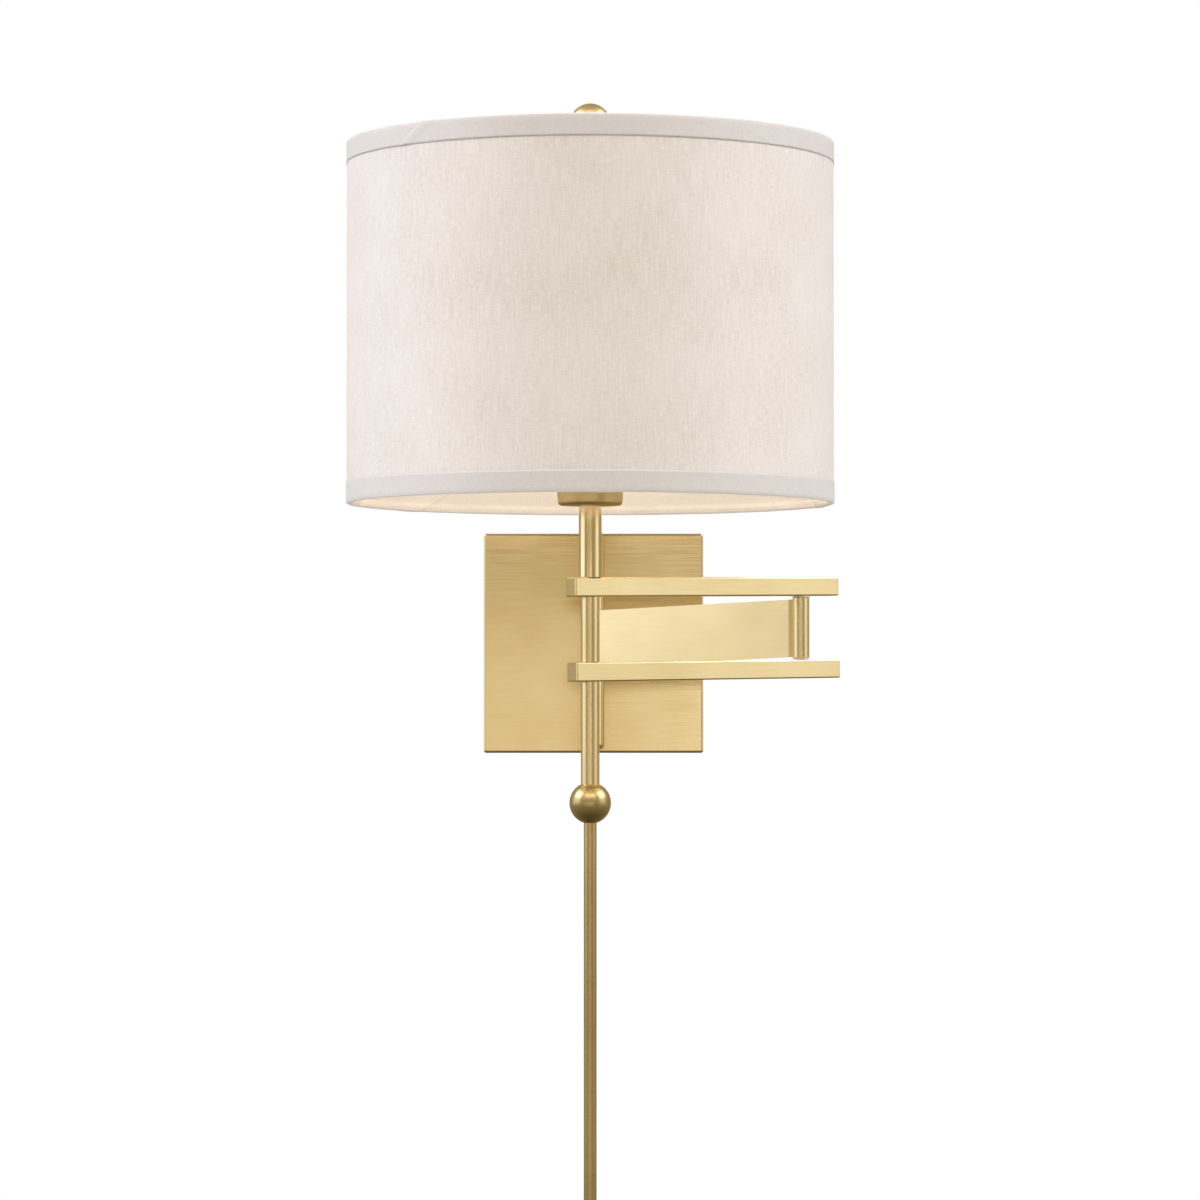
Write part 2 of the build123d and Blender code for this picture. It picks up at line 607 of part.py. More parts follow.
def spider():
    """Washer under the finial with its arms."""
    frame = disc(WASHER_RADIUS, WASHER_LOW, FINIAL_LOW) + spider_arms(SPIDER_WIRE)
    frame -= disc(STUD_RADIUS, WASHER_LOW - WASHER_HEIGHT, FINIAL_LOW + WASHER_HEIGHT)
    frame -= Pos(0, 0, TOP_RING_Z) * Torus(RING_RADIUS, RING_WIRE)
    return AT_STEM * frame


def shade_liner():
    outer = SHADE_RADIUS - CLOTH
    return AT_STEM * tube(outer, outer - LINER, SHADE_BOTTOM, SHADE_TOP)


def shade_fabric():
    return AT_STEM * tube(SHADE_RADIUS, SHADE_RADIUS - CLOTH, SHADE_BOTTOM, SHADE_TOP)


def shade_trim(edge_z, inward):
    """Tape folded over a rim: a band outside, one inside past the ring, and the fold between.

    inward is 1 where the shade lies above the rim and -1 where it lies below.
    """
    outer = SHADE_RADIUS + TRIM_CLOTH
    inner = RING_RADIUS - RING_WIRE - TRIM_CLOTH
    fold = edge_z - inward * TRIM_CLOTH
    far = edge_z + inward * TRIM_HEIGHT
    solid = tube(outer, inner, min(fold, far), max(fold, far))
    solid -= tube(SHADE_RADIUS, inner + TRIM_CLOTH, min(edge_z, far), max(edge_z, far))
    return AT_STEM * solid


def finial():
    """Ball on a short neck, tapped for the stud."""
    ball = Pos(0, 0, FINIAL_Z) * Sphere(BALL_RADIUS)
    ball += disc(FINIAL_NECK_RADIUS, FINIAL_LOW, FINIAL_Z)
    return AT_STEM * (ball - disc(STUD_RADIUS, FINIAL_LOW, STUD_TOP))


def nodes():
    """Every sub-part by name."""
    cap_upper = AT_PIVOT * Pos(0, 0, TUBE_TOP - CAP_HEIGHT) * tube_cap()
    cap_lower = AT_PIVOT * Pos(0, 0, TUBE_BOTTOM + CAP_HEIGHT) * Rot(180, 0, 0) * tube_cap()
    middle_low = LOWER_BAR_TOP + STEM_SEAT
    contact_top = SOCKET_BODY_TOP + CONTACT_HEIGHT
    return {
        "backplate_pan": backplate_pan(),
        "mounting_strip": mounting_strip(),
        "pan_set_screws": pan_set_screws(),
        "pivot_post_upper": pivot_post(POST_UPPER_Z),
        "pivot_post_lower": pivot_post(POST_LOWER_Z),
        "post_screws": post_screws(),
        "wall_tube_upper": wall_tube_upper(),
        "wall_tube_lower": wall_tube_lower(),
        "wall_tube_cap_upper": cap_upper,
        "wall_tube_cap_lower": cap_lower,
        "wall_pivot_rod": wall_pivot_rod(),
        "flat_arm_plate": flat_arm_plate(),
        "wall_knuckle": wall_knuckle(),
        "wall_bush_upper": wall_bush(KNUCKLE_TOP, 1),
        "wall_bush_lower": wall_bush(KNUCKLE_BOTTOM, -1),
        "elbow_sleeve": elbow_sleeve(),
        "elbow_bush_upper": elbow_bush(SLEEVE_TOP, 1),
        "elbow_bush_lower": elbow_bush(SLEEVE_BOTTOM, -1),
        "upper_bar": arm_bar(1),
        "lower_bar": arm_bar(-1),
        "elbow_pin": AT_ELBOW * elbow_pin_solid(),
        "stem_upper_tube": stem_tube(TUBE_RADIUS, UPPER_BAR_TOP + STEM_SEAT, STEM_TOP),
        "stem_middle_tube": stem_tube(SLIM_TUBE_RADIUS, middle_low, UPPER_BAR_LOW - STEM_SEAT),
        "stem_lower_tube": stem_tube(SLIM_TUBE_RADIUS, BALL_Z + BALL_FLAT, LOWER_BAR_LOW - STEM_SEAT),
        "threaded_pipe": AT_STEM * tube(PIPE_RADIUS, PIPE_BORE, BALL_Z, PIPE_TOP),
        "stem_ball": stem_ball(),
        "cord_cover_tube": AT_STEM * tube(COVER_RADIUS, COVER_BORE, COVER_FOOT, COVER_TOP),
        "cord_bushing": cord_bushing(),
        "lead_wires": lead_wires(),
        "socket_cup": socket_cup(),
        "cup_nut": cup_nut(),
        "harp_saddle": harp_saddle(),
        "harp": AT_STEM * harp_wire(),
        "harp_ferrules": harp_ferrules(),
        "harp_stud": harp_stud(),
        "socket_cap": socket_cap(),
        "socket_shell": socket_shell(),
        "socket_insulator": socket_insulator(),
        "socket_body": socket_body(),
        "socket_screw_shell": socket_screw_shell(),
        "centre_contact": AT_STEM * disc(CONTACT_RADIUS, SOCKET_BODY_TOP, contact_top),
        "bulb_base": bulb_base(),
        "bulb_glass": bulb_glass(),
        "switch_key": switch_key(),
        "spider": spider(),
        "shade_top_ring": shade_ring(TOP_RING_Z),
        "shade_bottom_ring": shade_ring(BOTTOM_RING_Z),
        "shade_liner": shade_liner(),
        "shade_fabric": shade_fabric(),
        "top_trim": shade_trim(SHADE_TOP, -1) - AT_STEM * spider_arms(SPIDER_WIRE + TRIM_SLIT),
        "bottom_trim": shade_trim(SHADE_BOTTOM, 1),
        "finial": finial(),
    }


os.makedirs("parts", exist_ok=True)
for name, shape in nodes().items():
    export_step(shape, f"parts/{name}.step")
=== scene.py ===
"""Looks for the swing arm wall sconce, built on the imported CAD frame. Metres, +Z up."""

import math

import bpy
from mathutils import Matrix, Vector, noise

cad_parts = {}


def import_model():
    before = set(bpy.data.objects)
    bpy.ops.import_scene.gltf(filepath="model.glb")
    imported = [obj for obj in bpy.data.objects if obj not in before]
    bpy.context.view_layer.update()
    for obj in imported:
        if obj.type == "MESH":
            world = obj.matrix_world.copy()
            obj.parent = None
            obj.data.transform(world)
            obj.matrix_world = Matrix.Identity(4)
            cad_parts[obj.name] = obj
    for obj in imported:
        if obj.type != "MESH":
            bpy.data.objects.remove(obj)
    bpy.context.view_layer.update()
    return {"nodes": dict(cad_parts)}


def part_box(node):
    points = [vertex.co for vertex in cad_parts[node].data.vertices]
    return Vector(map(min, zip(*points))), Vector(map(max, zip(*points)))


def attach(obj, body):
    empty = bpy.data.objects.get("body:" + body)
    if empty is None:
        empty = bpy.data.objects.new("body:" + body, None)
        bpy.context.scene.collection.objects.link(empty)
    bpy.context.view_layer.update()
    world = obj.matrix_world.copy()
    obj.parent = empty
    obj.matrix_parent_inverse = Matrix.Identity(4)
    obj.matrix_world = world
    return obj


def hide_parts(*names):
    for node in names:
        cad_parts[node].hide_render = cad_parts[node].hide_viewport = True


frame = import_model()
NODES = frame["nodes"]

# How each arm is turned about the vertical, from the line of its two hinges.
PIVOT = (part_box("wall_pivot_rod")[0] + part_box("wall_pivot_rod")[1]) / 2
ELBOW = (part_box("elbow_pin")[0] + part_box("elbow_pin")[1]) / 2
STEM = (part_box("stem_middle_tube")[0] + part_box("stem_middle_tube")[1]) / 2
INNER_TURN = math.atan2(ELBOW.y - PIVOT.y, ELBOW.x - PIVOT.x)
OUTER_TURN = math.atan2(ELBOW.y - STEM.y, ELBOW.x - STEM.x)


class Nodes:
    """One material's nodes, with short calls for adding and joining them."""

    def __init__(self, name):
        self.material = bpy.data.materials.new(name)
        self.material.use_nodes = True
        self.tree = self.material.node_tree
        self.tree.nodes.clear()

    def add(self, kind, inputs, **settings):
        """Adds a node. An input's value is a number, a colour or another node's output."""
        node = self.tree.nodes.new("ShaderNode" + kind)
        for key, value in settings.items():
            setattr(node, key, value)
        for socket, value in inputs.items():
            if isinstance(value, bpy.types.NodeSocket):
                self.tree.links.new(value, node.inputs[socket])
            else:
                node.inputs[socket].default_value = value
        return node

    def grain(self, sizes, turn=0.0, space="Object", detail=2.0):
        """Noise from 0 to 1 whose grains have these sizes, in metres, along axes turned by turn."""
        place = self.add("TexCoord", {}).outputs[space]
        settings = {"Vector": place, "Rotation": (0, 0, turn), "Scale": sizes}
        mapped = self.add("Mapping", settings, vector_type="TEXTURE").outputs[0]
        settings = {"Vector": mapped, "Scale": 1.0, "Detail": detail}
        return self.add("TexNoise", settings).outputs[0]

    def span(self, value, low, high, out_low, out_high):
        """value from low..high turned into out_low..out_high."""
        settings = {0: value, 1: low, 2: high, 3: out_low, 4: out_high}
        return self.add("MapRange", settings).outputs[0]

    def blend(self, share, first, second):
        """A colour between two others."""
        settings = {0: share, 6: first, 7: second}
        return self.add("Mix", settings, data_type="RGBA").outputs[2]

    def relief(self, height, depth):
        """A normal from height, whose full range stands for depth in metres."""
        settings = {"Height": height, "Distance": depth, "Strength": 1.0}
        return self.add("Bump", settings).outputs[0]

    def finish(self, shader):
        """Joins the shader to the output and gives the material."""
        self.add("OutputMaterial", {"Surface": shader.outputs[0]})
        return self.material


LACQUER_CLOUD = 0.06


def colour(red, green, blue):
    """A linear colour with full alpha from one picked in sRGB, from 0 to 255."""
    linear = []
    for part in (red, green, blue):
        share = part / 255
        linear.append(share / 12.92 if share < 0.04045 else ((share + 0.055) / 1.055) ** 2.4)
    return (*linear, 1.0)


def metal(name, low, high, roughness, sizes, turn=0.0, depth=0.00002):
    """Plated metal with fine tool lines of the given sizes, and faint clouds in its lacquer."""
    n = Nodes(name)
    lines = n.grain(sizes, turn, detail=3.0)
    clouds = n.grain((LACQUER_CLOUD, LACQUER_CLOUD, LACQUER_CLOUD), detail=2.0)
    settings = {0: lines, 1: 0.6, 2: n.span(clouds, 0.25, 0.75, 0.0, 0.4)}
    shade = n.add("Math", settings, operation="MULTIPLY_ADD").outputs[0]
    tone = n.blend(n.span(shade, 0.3, 0.7, 0.0, 1.0), low, high)
    settings = {
        "Base Color": tone,
        "Metallic": 1.0,
        "Roughness": n.span(lines, 0.3, 0.7, roughness - 0.03, roughness + 0.04),
        "Normal": n.relief(lines, depth),
    }
    return n.finish(n.add("BsdfPrincipled", settings))


def plastic(name, low, high, roughness, size, depth=0.00003, specular=0.5):
    """A moulded or coated surface with a fine skin texture and slow changes of tone."""
    n = Nodes(name)
    skin = n.grain((size, size, size), detail=4.0)
    clouds = n.grain((size * 25, size * 25, size * 25))
    tone = n.blend(n.span(clouds, 0.3, 0.7, 0.0, 1.0), low, high)
    settings = {
        "Base Color": tone,
        "Roughness": n.span(skin, 0.3, 0.7, roughness - 0.05, roughness + 0.06),
        "Specular IOR Level": specular,
        "Normal": n.relief(skin, depth),
    }
    return n.finish(n.add("BsdfPrincipled", settings))


def cloth(name, low, high, slub, across, through, share, streak=0.5):
    """Woven cloth: slubs run up it, finer threads cross them, and some light comes through."""
    n = Nodes(name)
    slubs = n.grain((slub, across, 1.0), space="UV", detail=3.0)
    fine = n.grain((0.0004, 0.004, 1.0), space="UV", detail=2.0)
    weft = n.grain((0.006, 0.0004, 1.0), space="UV", detail=2.0)
    clouds = n.grain((0.05, 0.05, 1.0), space="UV")
    thread = n.add("Math", {0: fine, 1: weft}, operation="ADD").outputs[0]
    relief = n.add("Math", {0: thread, 1: 0.5, 2: slubs}, operation="MULTIPLY_ADD").outputs[0]
    settings = {0: slubs, 1: streak, 2: n.span(thread, 0.6, 1.4, 0.0, 1 - streak)}
    woven = n.add("Math", settings, operation="MULTIPLY_ADD").outputs[0]
    tone = n.blend(n.span(woven, 0.3, 0.75, 0.0, 1.0), low, high)
    tone = n.blend(n.span(clouds, 0.3, 0.7, 0.0, 0.35), tone, high)
    normal = n.relief(relief, 0.00012)
    settings = {
        "Base Color": tone,
        "Roughness": n.span(slubs, 0.3, 0.7, 0.72, 0.88),
        "Specular IOR Level": 0.25,
        "Sheen Weight": 0.25,
        "Sheen Roughness": 0.45,
        "Normal": normal,
    }
    front = n.add("BsdfPrincipled", settings)
    back = n.add("BsdfTranslucent", {"Color": through, "Normal": normal})
    return n.finish(n.add("MixShader", {0: share, 1: front.outputs[0], 2: back.outputs[0]}))


BRASS_LOW = colour(226, 202, 148)
BRASS_HIGH = colour(240, 220, 171)
DULL_LOW = colour(212, 190, 138)
DULL_HIGH = colour(224, 204, 153)
AGED_LOW = colour(190, 168, 116)
AGED_HIGH = colour(203, 182, 130)

# Each metal has a darkest and a lightest tone, a roughness, the sizes of its tool lines along
# three axes in metres, the turn of those axes and the depth of the lines.
FINISHES = {
    "plate_brass": metal(
        "plate_brass", BRASS_LOW, BRASS_HIGH, 0.13, (0.04, 0.002, 0.0006), 0.0, 0.000002
    ),
    "panel_brass": metal(
        "panel_brass", BRASS_LOW, BRASS_HIGH, 0.2, (0.03, 0.001, 0.0011), INNER_TURN, 0.000006
    ),
    "bar_brass": metal(
        "bar_brass", BRASS_LOW, BRASS_HIGH, 0.2, (0.03, 0.0008, 0.0009), OUTER_TURN, 0.000006
    ),
    "tube_brass": metal(
        "tube_brass", BRASS_LOW, BRASS_HIGH, 0.12, (0.001, 0.001, 0.03), 0.0, 0.0000015
    ),
    "brushed_tube": metal(
        "brushed_tube", BRASS_LOW, BRASS_HIGH, 0.26, (0.0008, 0.0008, 0.03), 0.0, 0.000003
    ),
    "satin_brass": metal(
        "satin_brass", DULL_LOW, DULL_HIGH, 0.4, (0.006, 0.006, 0.0006), 0.0, 0.000006
    ),
    "dark_satin": metal(
        "dark_satin", AGED_LOW, AGED_HIGH, 0.32, (0.006, 0.006, 0.0006), 0.0, 0.000005
    ),
    "socket_brass": metal(
        "socket_brass", colour(206, 172, 98), colour(224, 192, 122), 0.2, (0.01, 0.01, 0.0006)
    ),
    "zinc_steel": metal(
        "zinc_steel", colour(176, 178, 178), colour(206, 206, 202), 0.36, (0.004, 0.004, 0.004)
    ),
    "ring_wire": metal(
        "ring_wire", colour(206, 206, 202), colour(226, 226, 222), 0.3, (0.003, 0.003, 0.001)
    ),
    "aluminium": metal(
        "aluminium", colour(206, 207, 208), colour(230, 230, 230), 0.28, (0.01, 0.01, 0.0005)
    ),
    "pale_nylon": plastic(
        "pale_nylon", colour(220, 214, 196), colour(236, 231, 216), 0.45, 0.0008
    ),
    "liner_card": plastic(
        "liner_card", colour(120, 98, 72), colour(146, 122, 92), 0.8, 0.0006, 0.00006, 0.2
    ),
    "black_moulding": plastic(
        "black_moulding", colour(28, 28, 29), colour(46, 45, 44), 0.5, 0.0005
    ),
    "wire_insulation": plastic(
        "wire_insulation", colour(58, 46, 30), colour(84, 68, 46), 0.5, 0.0005
    ),
}


def opal_glass():
    """Frosted glass, softly lit from within."""
    n = Nodes("opal_glass")
    frost = n.grain((0.0006, 0.0006, 0.0006), detail=4.0)
    clouds = n.grain((0.02, 0.02, 0.03))
    share = n.span(clouds, 0.3, 0.7, 0.0, 1.0)
    settings = {
        "Base Color": n.blend(share, colour(250, 243, 226), colour(255, 250, 238)),
        "Roughness": n.span(frost, 0.3, 0.7, 0.3, 0.42),
        "Normal": n.relief(frost, 0.00004),
        "Emission Color": n.blend(share, (1.0, 0.82, 0.59, 1), (1.0, 0.86, 0.67, 1)),
        "Emission Strength": 11.5,
    }
    return n.finish(n.add("BsdfPrincipled", settings))


def liner_sheet():
    """The stiff backing sheet behind the cloth: pale, slightly glossy, with light through it."""
    n = Nodes("liner_sheet")
    skin = n.grain((0.0008, 0.0008, 0.0012), detail=4.0)
    clouds = n.grain((0.04, 0.04, 0.06))
    share = n.span(clouds, 0.3, 0.7, 0.0, 1.0)
    settings = {
        "Base Color": n.blend(share, colour(244, 234, 214), colour(250, 243, 228)),
        "Roughness": n.span(skin, 0.3, 0.7, 0.42, 0.55),
        "Normal": n.relief(skin, 0.00004),
    }
    front = n.add("BsdfPrincipled", settings)
    back = n.add("BsdfTranslucent", {"Color": colour(240, 222, 190)})
    return n.finish(n.add("MixShader", {0: 0.25, 1: front.outputs[0], 2: back.outputs[0]}))


FINISHES["opal_glass"] = opal_glass()
FINISHES["liner_sheet"] = liner_sheet()
FINISHES["shade_cloth"] = cloth(
    "shade_cloth", colour(226, 219, 211), colour(253, 251, 249),
    slub=0.0011, across=0.02, through=colour(246, 228, 200), share=0.14,
)
FINISHES["trim_cloth"] = cloth(
    "trim_cloth", colour(217, 214, 212), colour(230, 228, 226),
    slub=0.0007, across=0.006, through=colour(244, 226, 198), share=0.1, streak=0.35,
)

NODE_FINISHES = {
    "plate_brass": ["backplate_pan"],
    "panel_brass": ["flat_arm_plate"],
    "bar_brass": ["upper_bar", "lower_bar"],
    "tube_brass": [
        "wall_tube_upper", "wall_tube_lower", "wall_tube_cap_upper", "wall_tube_cap_lower",
        "wall_knuckle", "stem_upper_tube",
    ],
    "brushed_tube": ["elbow_sleeve", "stem_middle_tube", "stem_lower_tube"],
    "satin_brass": [
        "socket_cup", "harp_saddle", "harp_ferrules",
        "harp", "harp_stud", "finial", "pan_set_screws",
    ],
    "dark_satin": ["stem_ball", "cord_cover_tube", "cord_bushing"],
    "socket_brass": ["socket_shell", "socket_cap", "socket_screw_shell", "centre_contact"],
    "zinc_steel": [
        "mounting_strip", "pivot_post_upper", "pivot_post_lower", "post_screws",
        "wall_pivot_rod", "elbow_pin", "threaded_pipe", "cup_nut",
    ],
    "ring_wire": ["shade_top_ring", "shade_bottom_ring", "spider"],
    "aluminium": ["bulb_base"],
    "pale_nylon": [
        "wall_bush_upper", "wall_bush_lower", "elbow_bush_upper", "elbow_bush_lower",
    ],
    "liner_card": ["socket_insulator"],
    "black_moulding": ["socket_body", "switch_key"],
    "wire_insulation": ["lead_wires"],
    "opal_glass": ["bulb_glass"],
    "liner_sheet": ["shade_liner"],
}


def paint(piece, finish):
    """Gives a piece one finish in place of its own."""
    piece.data.materials.clear()
    piece.data.materials.append(FINISHES[finish])


for finish, names in NODE_FINISHES.items():
    for name in names:
        paint(NODES[name], finish)


# The shade's cloth and tapes, in metres. A tape's faces are given as distances out from the
# shade's cloth, and its fold goes round the wire in the shade's edge.
SHADE_LOW, SHADE_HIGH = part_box("shade_fabric")
SHADE_MIDDLE = (SHADE_LOW + SHADE_HIGH) / 2
SHADE_RADIUS = (SHADE_HIGH.x - SHADE_LOW.x) / 2
CLOTH_THICKNESS = 0.0004
CLOTH_OVERLAP = 0.012
CLOTH_START = math.radians(-12)
CLOTH_RAMP = 0.004
CLOTH_RIPPLE = 0.00006
LAP_LIFT = CLOTH_THICKNESS * 1.2
COVER_RAMP = 0.006
COVER_MARGIN = 0.002
TAPE_THICKNESS = 0.0003
TAPE_OVERLAP = 0.009
TAPE_RAMP = 0.003
TAPE_PUCKER = 0.00008
TAPE_OUTSIDE = 0.013
TAPE_INSIDE = 0.0145
TAPE_OUTER_FACE = 0.00015
TAPE_WIRE_FACE = -0.0040
TAPE_LINER_FACE = -0.0012
TAPE_DROP = -0.0003
TAPE_TURN = 0.0011
TAPE_OUTER_ROWS = 9
TAPE_FOLD_ROWS = 6
TAPE_COLUMN = 0.9


def smooth(share):
    """0 to 1 with soft ends, held at them outside."""
    share = min(max(share, 0.0), 1.0)
    return share * share * (3 - 2 * share)


def sheet_piece(name, grids, thickness, finish):
    """A cloth piece from grids of ((x, y, z), (u, v)) points, with its UVs in metres."""
    points, uvs, faces = [], [], []
    for grid in grids:
        first = len(points)
        width = len(grid[0])
        for row in grid:
            points += [place for place, uv in row]
            uvs += [uv for place, uv in row]
        for i in range(len(grid) - 1):
            for j in range(width - 1):
                a = first + i * width + j
                faces.append((a, a + width, a + width + 1, a + 1))
    mesh = bpy.data.meshes.new(name)
    mesh.from_pydata(points, [], faces)
    layer = mesh.uv_layers.new(name="cloth")
    for loop in mesh.loops:
        layer.data[loop.index].uv = uvs[loop.vertex_index]
    mesh.shade_smooth()
    piece = bpy.data.objects.new(name, mesh)
    bpy.context.scene.collection.objects.link(piece)
    solid = piece.modifiers.new("thickness", "SOLIDIFY")
    solid.thickness = thickness
    solid.offset = 0.0
    paint(piece, finish)
    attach(piece, "outer_arm")
    return piece


def round_shade(angle, radius, z):
    """A point at an angle from straight back, towards +X."""
    return (
        SHADE_MIDDLE.x + radius * math.sin(angle),
        SHADE_MIDDLE.y + radius * math.cos(angle),
        z,
    )


def shade_cloth():
    """The outer cloth: one strip round the shade, its end lapped over its start at the back."""
    around = 2 * math.pi * SHADE_RADIUS + CLOTH_OVERLAP
    columns = 480
    rows = 30
    height = SHADE_HIGH.z - SHADE_LOW.z
    grid = []
    for i in range(columns + 1):
        s = around * i / columns
        angle = CLOTH_START + s / SHADE_RADIUS
        lap = smooth((s - around + CLOTH_OVERLAP + CLOTH_RAMP) / CLOTH_RAMP) * LAP_LIFT
        row = []
        for j in range(rows + 1):
            t = height * j / rows
            x, y, z = round_shade(angle, 1.0, t)
            ripple = noise.noise(Vector((x * 6, y * 6, z * 9))) * CLOTH_RIPPLE
            radius = SHADE_RADIUS - CLOTH_THICKNESS * 0.7 + lap + ripple
            row.append((round_shade(angle, radius, SHADE_LOW.z + t), (s, t)))
        grid.append(row)
    piece = sheet_piece("shade_cloth", [grid], CLOTH_THICKNESS, "shade_cloth")
    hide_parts("shade_fabric")


def lap_cover(angle):
    """How far a tape stands out at this angle to clear the lap in the cloth under it."""
    past = math.remainder(angle - CLOTH_START, 2 * math.pi) * SHADE_RADIUS
    rise = smooth((past + COVER_MARGIN + COVER_RAMP) / COVER_RAMP)
    fall = smooth((past - CLOTH_OVERLAP - COVER_MARGIN) / COVER_RAMP)
    return rise * (1 - fall) * LAP_LIFT


def tape_section():
    """The tape's folded section, from its outer edge round the wire to its inner edge.
    Each point is (distance out from the cloth, height above the fold, distance along)."""
    wire, liner = TAPE_WIRE_FACE, TAPE_LINER_FACE
    points = [(TAPE_OUTER_FACE, TAPE_OUTSIDE - 0.0013 * k) for k in range(TAPE_OUTER_ROWS)]
    for centre, first in ((TAPE_OUTER_FACE - TAPE_TURN, 0), (wire + TAPE_TURN, 90)):
        for k in range(1, TAPE_FOLD_ROWS + 1):
            a = math.radians(first + 90 / TAPE_FOLD_ROWS * k)
            height = TAPE_DROP + TAPE_TURN - TAPE_TURN * math.sin(a)
            points.append((centre + TAPE_TURN * math.cos(a), height))
    for share in (0.25, 0.5, 0.75, 1.0):
        points.append((wire, 0.0009 + 0.0014 * share))
    for k in range(1, 7):
        share = k / 6
        points.append((wire + (liner - wire) * smooth(share), 0.0023 + 0.0032 * share))
    for k in range(1, 9):
        points.append((liner, 0.0055 + (TAPE_INSIDE - 0.0055) * k / 8))
    section, along = [], 0.0
    for k, (out, up) in enumerate(points):
        if k:
            along += math.hypot(out - points[k - 1][0], up - points[k - 1][1])
        section.append((out, up, along))
    return section


def outward(section):
    """The direction away from the shade at each point of the tape's section."""
    normals = []
    for k in range(len(section)):
        before, after = section[max(k - 1, 0)], section[min(k + 1, len(section) - 1)]
        across = Vector((after[1] - before[1], before[0] - after[0])).normalized()
        normals.append(-across)
    return normals


def edge_tape(name, node, fold_z, inward, seams):
    """A tape folded over one edge of the shade, in strips joined on the bias. Each seam is (its
    angle from straight back in degrees, its slant in metres along per metre across)."""
    section = tape_section()
    normals = outward(section)
    middle = section[-1][2] * 0.72
    circumference = 2 * math.pi * SHADE_RADIUS
    grids = []
    for index, (angle, slant) in enumerate(seams):
        next_angle, next_slant = seams[(index + 1) % len(seams)]
        if index == len(seams) - 1:
            next_angle += 360
        columns = int((next_angle - angle) / TAPE_COLUMN)
        first, last = math.radians(angle) * SHADE_RADIUS, math.radians(next_angle) * SHADE_RADIUS
        grid = []
        for i in range(columns + 1):
            row = []
            for k, ((out, up, along), normal) in enumerate(zip(section, normals)):
                start = first + slant * (along - middle)
                end = last + next_slant * (along - middle) + TAPE_OVERLAP
                s = start + (end - start) * i / columns
                lap = smooth((s - end + TAPE_OVERLAP + TAPE_RAMP) / TAPE_RAMP)
                a = s / SHADE_RADIUS
                x, y, z = round_shade(a, 1.0, along)
                pucker = noise.noise(Vector((x * 14, y * 14, z * 120 + index)))
                lift = lap * TAPE_THICKNESS * 1.3 + pucker * TAPE_PUCKER
                radius = SHADE_RADIUS + out + normal.x * lift
                if k < TAPE_OUTER_ROWS + TAPE_FOLD_ROWS:
                    radius += lap_cover(a)
                height = fold_z + inward * (up + normal.y * lift)
                row.append((round_shade(a, radius, height), (s % circumference, along)))
            grid.append(row)
        grids.append(grid)
    piece = sheet_piece(name, grids, TAPE_THICKNESS, "trim_cloth")
    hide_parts(node)


shade_cloth()
edge_tape("bottom_trim_tape", "bottom_trim", SHADE_LOW.z, 1, [(-45.7, 2.1), (65.5, -2.1)])
edge_tape("top_trim_tape", "top_trim", SHADE_HIGH.z, -1, [(-148.0, -1.6), (24.0, 1.6)])


# Soft shading on the carried-over parts, with their real edges kept.
SHARP_EDGE = math.radians(28)
for node in NODES.values():
    if not node.hide_render:
        node.data.shade_smooth()
        node.modifiers.new("edges", "EDGE_SPLIT").split_angle = SHARP_EDGE


def floor():
    """A plain pale floor under the object, clear when it is seen from underneath."""
    n = Nodes("floor")
    speckle = n.grain((0.004, 0.004, 0.004), detail=3.0)
    share = n.span(speckle, 0.3, 0.7, 0.0, 1.0)
    tone = n.blend(share, colour(232, 231, 229), colour(240, 239, 237))
    top = n.add("BsdfPrincipled", {"Base Color": tone, "Roughness": 0.8})
    underside = n.add("NewGeometry", {}).outputs["Backfacing"]
    clear = n.add("BsdfTransparent", {})
    n.finish(n.add("MixShader", {0: underside, 1: top.outputs[0], 2: clear.outputs[0]}))
    bpy.ops.mesh.primitive_circle_add(
        vertices=128, radius=0.9, fill_type="NGON", location=(0, -0.2, -0.45)
    )
    ground = bpy.context.object
    ground.name = "floor"
    ground.data.materials.append(n.material)
    ground.visible_glossy = False


def softbox(name, place, aim, width, height, radiance, tint):
    """A rectangular light, seen in reflections with the given radiance and not by the camera."""
    data = bpy.data.lights.new(name, "AREA")
    data.shape = "RECTANGLE"
    data.size = width
    data.size_y = height
    data.energy = math.pi * width * height * radiance
    data.color = tint
    light = bpy.data.objects.new(name, data)
    light.location = place
    light.rotation_euler = (Vector(aim) - Vector(place)).to_track_quat("-Z", "Y").to_euler()
    light.visible_camera = False
    bpy.context.scene.collection.objects.link(light)


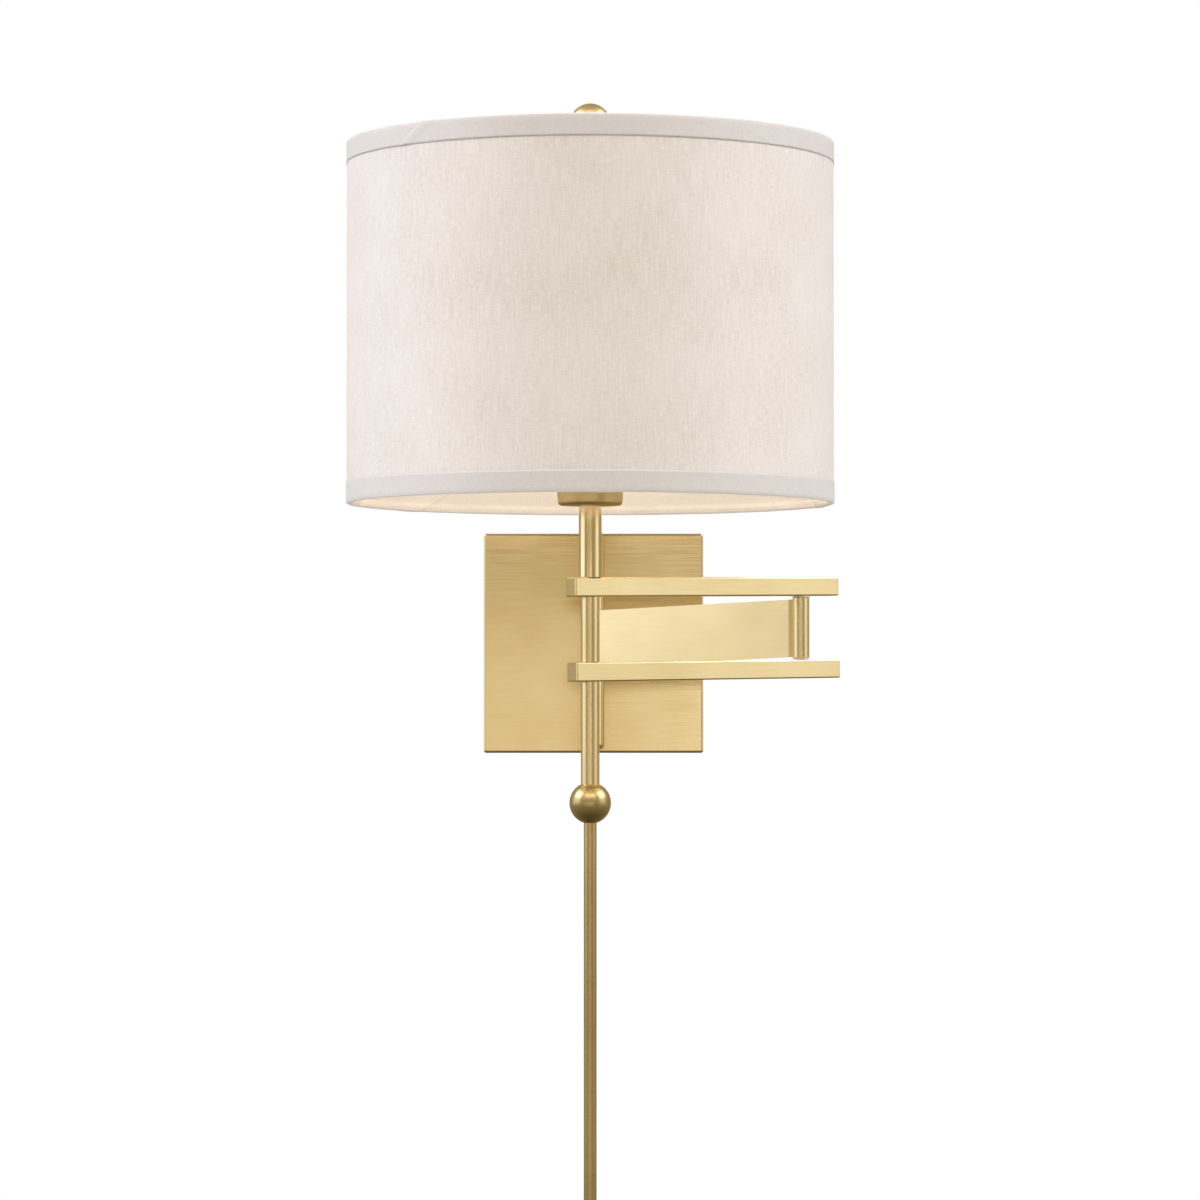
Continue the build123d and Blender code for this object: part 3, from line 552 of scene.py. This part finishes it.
def world():
    """White to the camera. To the object, a warm grey that falls off towards the ground."""
    made = bpy.data.worlds.new("studio")
    made.use_nodes = True
    tree = made.node_tree
    tree.nodes.clear()
    seen = tree.nodes.new("ShaderNodeBackground")
    seen.inputs[0].default_value = (1, 1, 1, 1)
    lit = tree.nodes.new("ShaderNodeBackground")
    lit.inputs[0].default_value = (1.0, 0.85, 0.58, 1)
    toward = tree.nodes.new("ShaderNodeTexCoord")
    parts = tree.nodes.new("ShaderNodeSeparateXYZ")
    fall = tree.nodes.new("ShaderNodeMapRange")
    ground_height, sky_height, ground_light, sky_light = -1.0, -0.03, 0.1, 0.42
    steps = (ground_height, sky_height, ground_light, sky_light)
    for index, value in enumerate(steps, start=1):
        fall.inputs[index].default_value = value
    path = tree.nodes.new("ShaderNodeLightPath")
    mix = tree.nodes.new("ShaderNodeMixShader")
    out = tree.nodes.new("ShaderNodeOutputWorld")
    tree.links.new(toward.outputs["Generated"], parts.inputs[0])
    tree.links.new(parts.outputs["Z"], fall.inputs[0])
    tree.links.new(fall.outputs[0], lit.inputs[1])
    tree.links.new(path.outputs["Is Camera Ray"], mix.inputs[0])
    tree.links.new(lit.outputs[0], mix.inputs[1])
    tree.links.new(seen.outputs[0], mix.inputs[2])
    tree.links.new(mix.outputs[0], out.inputs[0])
    bpy.context.scene.world = made


def camera():
    """The photograph's view: level with the arms, looking a little up."""
    data = bpy.data.cameras.new("camera")
    data.lens = 142.5
    data.sensor_width = 36
    data.clip_start = 0.1
    data.clip_end = 50
    eye = bpy.data.objects.new("camera", data)
    eye.location = (0.0043, -3.184, -0.059)
    eye.rotation_euler = (math.radians(91.59), 0, 0)
    bpy.context.scene.collection.objects.link(eye)
    bpy.context.scene.camera = eye
    bpy.context.scene.view_settings.view_transform = "Standard"


floor()
world()
camera()
softbox("left_softbox", (-2.1, -0.475, 0.9), (0, -0.475, 0.9), 2.05, 2.2, 0.85, (1.0, 1.12, 1.4))
softbox("right_softbox", (1.97, -0.83, 0.9), (0, -0.83, 0.9), 1.55, 2.2, 0.64, (1.0, 1.08, 1.2))
softbox("front_softbox", (-1.4, -4.65, -0.255), (-1.4, 0, -0.255), 3.4, 0.89, 0.5, (1.0, 0.98, 0.95))
softbox("front_strip", (0.66, -4.65, -0.255), (0.66, 0, -0.255), 0.7, 0.89, 1.5, (1.0, 1.06, 1.2))
softbox("high_front_softbox", (0, -1.9, 2.1), (0, -0.15, 0.1), 2.8, 2.0, 2.1, (1.0, 0.93, 0.95))
softbox("high_left_softbox", (-2.5, -0.4, 2.2), (0, -0.2, 0.2), 2.2, 2.0, 3.8, (1.0, 1.03, 1.17))
softbox("high_right_softbox", (2.5, -0.4, 2.2), (0, -0.2, 0.2), 2.2, 2.0, 4.0, (1.0, 1.03, 1.18))
